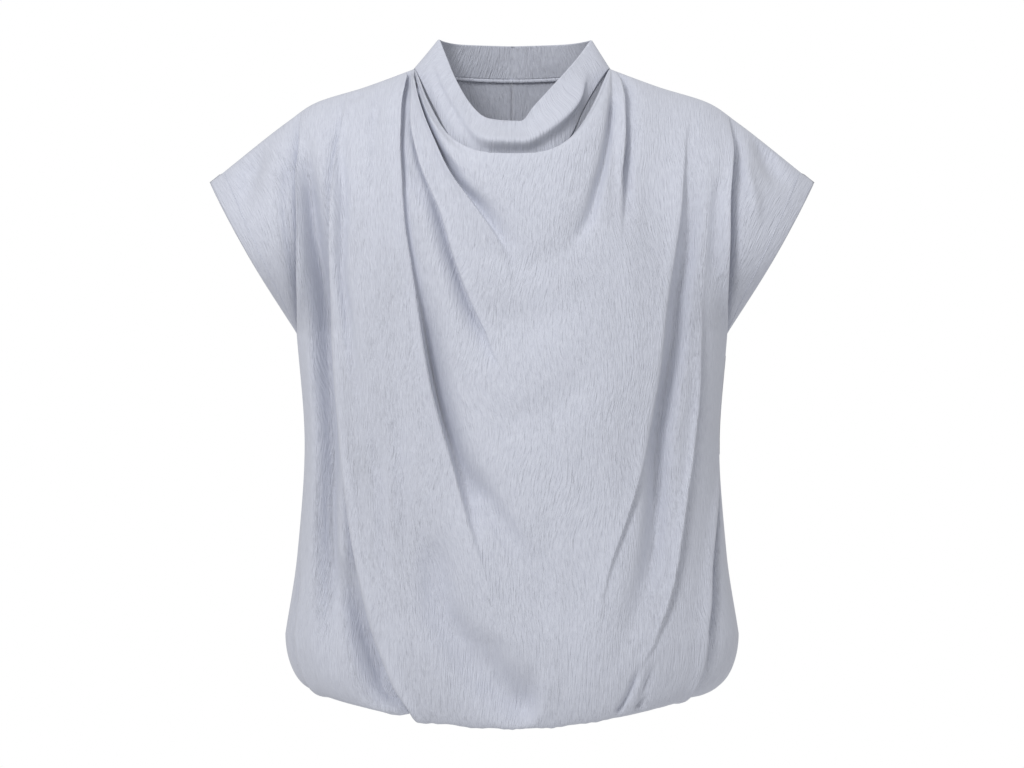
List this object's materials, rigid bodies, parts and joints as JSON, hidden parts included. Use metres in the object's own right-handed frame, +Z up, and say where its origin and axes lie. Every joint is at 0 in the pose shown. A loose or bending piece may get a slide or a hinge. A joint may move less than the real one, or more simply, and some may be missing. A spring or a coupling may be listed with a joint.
{
  "type": "cowl neck top",
  "caption": "Cowl neck top with cap sleeves, a draped front, a seamed back and a gathered bubble hem, filled out as worn.",
  "frame": {"origin": "midway between the two shoulder neck points, where the wearer's shoulders carry the garment", "axes": "+Z up, +X to the viewer's right as seen from the front, the front faces -Y"},
  "size_m": [0.6044, 0.2517, 0.6741],
  "materials": {
    "crepe": "soft matt crepe with fine lengthwise crinkle",
    "crepe_band": "the same crepe, doubled as a folded band"
  },
  "bodies": {
    "root": {"front": "crepe", "back_left": "crepe", "back_right": "crepe", "collar": "crepe_band"}
  },
  "joints": []
}
